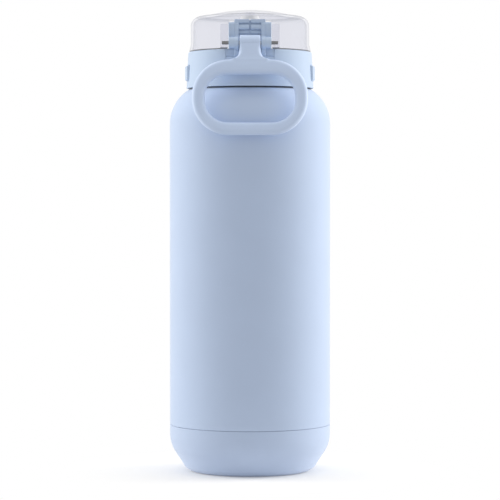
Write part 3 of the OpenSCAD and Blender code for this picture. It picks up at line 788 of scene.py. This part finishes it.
def stadium(half_w, half_h, corner, angle):
    """Distance from the centre to a rectangle with rounded corners, at each angle: the straight side's
    distance, or, where the ray meets a corner's circle, the far root of |k ray - corner centre| = corner."""
    c, s = np.abs(np.cos(angle)), np.abs(np.sin(angle))
    k = np.minimum(half_w / np.maximum(c, 1e-9), half_h / np.maximum(s, 1e-9))
    cx, cy = half_w - corner, half_h - corner
    in_corner = (k * c > cx) & (k * s > cy)
    along = c * cx + s * cy
    root = along + np.sqrt(np.maximum(along ** 2 - (cx ** 2 + cy ** 2 - corner ** 2), 0))
    return np.where(in_corner, root, k)


class JUG_OT_carry_loop(bpy.types.Operator):
    """Carries a rounded section round the ring, wide as the gap between the outer and inner outlines along
    each ray from the window's centre. Another runs up the stem, flaring by a quarter circle into the ring
    and bending over to the pin, where the drum closes it. The loop hangs from its top and leans back."""
    bl_idname = "jug.carry_loop"
    bl_label = "Carry loop"

    def execute(self, context):
        shape, m = context.scene.jug_shape, materials()
        top_y, top_z, lean = -41.4, 243.9, math.radians(15)
        width, height, thick, bar, corner = 67.0, 45.6, 5.6, 7.4, 21.6
        window_h, window_corner = 29.2, 13.4
        up = np.array([0, math.sin(lean), math.cos(lean)])
        out = np.array([0, -math.cos(lean), math.sin(lean)])
        side = np.array([1.0, 0, 0])
        origin = np.array([0, top_y, top_z])

        def place(x, v, w):
            return (origin + x[..., None] * side + v[..., None] * up + w[..., None] * out) * MM

        a = np.arange(240) / 240 * TAU
        mid_out, mid_in = -height / 2, bar + window_h / 2 - height
        shift = mid_out - mid_in
        inner = stadium(width / 2 - bar, window_h / 2, window_corner, a)
        outer = stadium(width / 2, height / 2, corner, a)
        for _ in range(12):  # the outer outline's centre is shift away from the rays' centre
            x, y = outer * np.cos(a), outer * np.sin(a) - shift
            outer = outer * stadium(width / 2, height / 2, corner, np.arctan2(y, x)) / np.hypot(x, y)
        half = (outer - inner) / 2
        b, w = rounded_section(half, np.full_like(half, thick / 2), shape.loop_edge / MM)
        k = (outer + inner)[:, None] / 2 + b
        shells = [grid(place(k * np.cos(a)[:, None], mid_in + k * np.sin(a)[:, None], w), True, True)]

        low, high, flare, half_w, half_t, swell = -4, 9.9, 5.6, 6.1, 2.75, 1.2
        pin = np.array([PIN_Y, PIN_Z])
        t = np.linspace(0, 1, 30)
        v = low + t * (high - low)
        line = np.array([top_y, top_z]) + v[:, None] * up[1:]
        bend = smooth((t - 0.45) / 0.55)[:, None]
        line = line * (1 - bend) + pin * bend
        over = np.clip(v / flare, 0, 1)
        b, w = rounded_section(
            half_w + flare * (1 - np.sqrt(1 - (1 - over) ** 2)),
            half_t + swell * smooth((t - 0.45) / 0.5),
            (2.6 - 1.6 * smooth((v - flare / 2) / flare))[:, None])
        p = np.stack([b, line[:, :1] + w * out[1], line[:, 1:] + w * out[2]], -1) * MM
        ends = [np.broadcast_to(p[i].mean(0), p[i].shape)[None] for i in (0, -1)]
        shells.append(grid(np.concatenate([ends[0], p, ends[1]]), False, True))
        drum = outline(arc(*pin, 4.5, 0, 354, 59))
        shells.append(plate(drum, -half_w * MM, half_w * MM, 0.7 * MM))
        piece("loop", shells, "loop", m["loop"], ["carry_loop"], 60)
        return {"FINISHED"}


def coil(y0, y1, z, r, wire, turns):
    """A wire's circle carried along a helix about a line along y: at an angle t the centre is
    (r cos t, y0 + (y1 - y0) t / total, z + r sin t), and the circle lies in the radial and axial directions."""
    t = np.linspace(0, turns * TAU, turns * 28 + 1)[:, None]
    a = np.arange(10) / 10 * TAU
    size = np.ones_like(t) * wire
    size[[0, -1]] = 0
    k = r + size * np.cos(a)
    y = y0 + (y1 - y0) * t / (turns * TAU) + size * np.sin(a)
    return grid(np.stack([k * np.cos(t), y, z + k * np.sin(t)], -1), False, True)


class JUG_OT_latch(bpy.types.Operator):
    """Makes the push button's dished pad, arm, post and nose, the spring behind it, and the lock slider."""
    bl_idname = "jug.latch"
    bl_label = "Button and lock"

    def execute(self, context):
        shape, m = context.scene.jug_shape, materials()
        fine = shape.fine_edge

        def dished(x, z):
            """The dish is deepest in the button's middle and runs out to an ellipse of 7 by 3.2 mm."""
            far = np.hypot(x / (7.0 * MM), (z - 244.1 * MM) / (3.2 * MM))
            return 39.05 * MM - shape.thumb_dish * (1 - smooth(far))

        y0, y1, half_post, arm_z = 28.8, 30.4, 4.5, (245.2, 246.7)
        nose = outline([[y0, 252.7], [33.4, 252.7], [32.8, 253.3], [y1, 254.2], [y0, 254.2]])
        button = [
            pad(BUTTON_SIDE, 7.9 * MM, 240.3 * MM, 247.9 * MM, 36.5 * MM, dished, 1.6 * MM, 0.9 * MM, 64, 40),
            box_plate((-half_post, y0 + 0.2, arm_z[0]), (half_post, 36.9, arm_z[1]), fine),
            box_plate((-half_post, y0, arm_z[0]), (half_post, y1, 253.6), fine),
            plate(soften(nose, 0.2 * MM), -half_post * MM, half_post * MM, fine, (30.8, 253.2))]
        piece("latch_button", button, "button", m["button"], ["push_button"], 50)

        low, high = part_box("button_spring")
        free, wire, turns = high.y - low.y, 0.22 * MM, 6
        r = (high.z - low.z) / 2 - wire
        spring = coil(low.y + wire, high.y - wire, (low.z + high.z) / 2, r, wire, turns)
        spring = piece("coil_spring", [spring], "lid", m["wire"], ["button_spring"], 60)
        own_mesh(spring)

        def ribbed(x, z):
            """Ribs of 0.2 mm across the slider's knob."""
            return 39.2 * MM - 0.2 * MM * np.cos((z - 231.2 * MM) / (0.85 * MM) * math.pi) ** 2

        lock = [
            box_plate((-3, 34.25, 231.2), (3, 36.2, 239.4), fine),
            box_plate((-2.9, 35.4, 231.4), (2.9, 38.1, 234.4), fine),
            pad(BUTTON_SIDE, 4.4 * MM, 231.25 * MM, 234.55 * MM, 38.1 * MM, ribbed, 0.7 * MM, 0.4 * MM, 40, 40)]
        piece("lock", lock, "lock", m["button"], ["lock_slider"], 50)
        return {"FINISHED"}


# ---------------------------------------------------------------- stage

def soft_box(name, place, aim, size, power, tone=(1, 1, 1)):
    """A rectangular lamp at a place, turned to face a point. It lights but isn't seen or mirrored."""
    lamp = bpy.data.lights.new(name, "AREA")
    lamp.shape, lamp.size, lamp.size_y, lamp.energy = "RECTANGLE", size[0], size[1], power
    lamp.color = tone
    made = bpy.data.objects.new(name, lamp)
    made.location = place
    made.rotation_euler = (Vector(aim) - Vector(place)).to_track_quat("-Z", "Y").to_euler()
    made.visible_camera = made.visible_glossy = False
    bpy.context.scene.collection.objects.link(made)
    return made


class JUG_OT_stage(bpy.types.Operator):
    """Makes the floor, the white room, the soft boxes and the camera."""
    bl_idname = "jug.stage"
    bl_label = "Stage"

    def execute(self, context):
        scene, stage = context.scene, context.scene.jug_stage
        reach, n = 3.0, 13
        x = np.linspace(-reach, reach, n)
        p = np.stack([*np.meshgrid(x, x, indexing="ij"), np.zeros((n, n))], -1)
        verts, faces = grid(p)
        mesh = bpy.data.meshes.new("floor")
        mesh.from_pydata(verts, [], faces.tolist())
        floor = bpy.data.objects.new("floor", mesh)
        scene.collection.objects.link(floor)
        s = Shader("floor")
        at = s.place()
        far = s.node("ShaderNodeVectorMath", {"operation": "LENGTH"}, {0: at}, output="Value")
        cloud = s.noise(at, 0.3, 2)
        ground = s.node("ShaderNodeBsdfPrincipled", sockets={
            "Base Color": s.mix(cloud, shade(stage.floor, 0.99), shade(stage.floor, 1.01)),
            "Roughness": 0.6, "Specular IOR Level": 0.2})
        # painted glow: the floor emits white light, stronger to the camera than to the bottle, mixed in from 15
        # percent near the foot to all of it from 115 mm out, so the floor is greyer round the foot, where the
        # real contact shadow shows, and glows white further out
        seen = s.node("ShaderNodeLightPath", output="Is Camera Ray")
        white = s.node("ShaderNodeEmission", sockets={
            "Color": (1, 1, 1, 1), "Strength": seen * 0.3 + 0.7})
        share = s.step(far, 0.045, 0.115) * 0.85 + 0.15  # the floor fades to white round the foot
        mesh.materials.append(s.finish(s.node("ShaderNodeMixShader", sockets={
            0: share, 1: ground, 2: white})))

        world = bpy.data.worlds.new("room")
        scene.world = world
        world.use_nodes = True
        nodes, links = world.node_tree.nodes, world.node_tree.links
        nodes.clear()
        path = nodes.new("ShaderNodeLightPath")
        level = nodes.new("ShaderNodeMapRange")
        level.inputs["To Min"].default_value = stage.ambient
        level.inputs["To Max"].default_value = 1.0
        links.new(path.outputs["Is Camera Ray"], level.inputs["Value"])
        glow = nodes.new("ShaderNodeBackground")
        glow.inputs["Color"].default_value = (1, 1, 1, 1)
        links.new(level.outputs[0], glow.inputs["Strength"])
        links.new(glow.outputs[0], nodes.new("ShaderNodeOutputWorld").inputs["Surface"])

        middle = (0, 0, 0.13)
        for name, side, power in (("left_box", -1.2, 1), ("right_box", 1.2, 1.25)):
            soft_box(name, (side, 0.34, 0.30), middle, (0.7, 1.1), stage.side_light * power, stage.side_tone)
        soft_box("top_box", (0, 0.1, 1.3), middle, (1.0, 1.0), stage.top_light)

        optics = bpy.data.cameras.new("camera")
        optics.lens, optics.sensor_width = stage.lens, 36.0
        camera = bpy.data.objects.new("camera", optics)
        camera.location = (0, -stage.distance, stage.camera_z)
        aim = Vector((0, 0, stage.aim_z)) - camera.location
        camera.rotation_euler = aim.to_track_quat("-Z", "Y").to_euler()
        scene.collection.objects.link(camera)
        scene.camera = camera
        scene.view_settings.view_transform = "Standard"
        return {"FINISHED"}


class JUG_PT_panel(bpy.types.Panel):
    """Lists the steps and their settings."""
    bl_label = "Water jug"
    bl_idname = "JUG_PT_panel"
    bl_space_type = "VIEW_3D"
    bl_region_type = "UI"
    bl_category = "Water jug"

    def draw(self, context):
        for group in (context.scene.jug_shape, context.scene.jug_finish, context.scene.jug_stage):
            column = self.layout.column()
            for name in group.__annotations__:
                column.prop(group, name)
        for step in OPERATORS:
            self.layout.operator(step.bl_idname)


GROUPS = {"jug_shape": JugShape, "jug_finish": JugFinish, "jug_stage": JugStage}
OPERATORS = (JUG_OT_stage, JUG_OT_bottle, JUG_OT_collar, JUG_OT_lid, JUG_OT_hinge, JUG_OT_cover,
             JUG_OT_carry_loop, JUG_OT_latch)
CLASSES = (*GROUPS.values(), *OPERATORS, JUG_PT_panel)


def register():
    for cls in CLASSES:
        bpy.utils.register_class(cls)
    for name, group in GROUPS.items():
        setattr(bpy.types.Scene, name, PointerProperty(type=group))


def unregister():
    for name in GROUPS:
        delattr(bpy.types.Scene, name)
    for cls in reversed(CLASSES):
        bpy.utils.unregister_class(cls)


def main():
    register()
    bpy.ops.jug.stage()
    bpy.ops.jug.bottle()
    bpy.ops.jug.collar()
    bpy.ops.jug.lid()
    bpy.ops.jug.hinge()
    bpy.ops.jug.cover()
    bpy.ops.jug.carry_loop()
    bpy.ops.jug.latch()


if __name__ == "__main__":
    main()
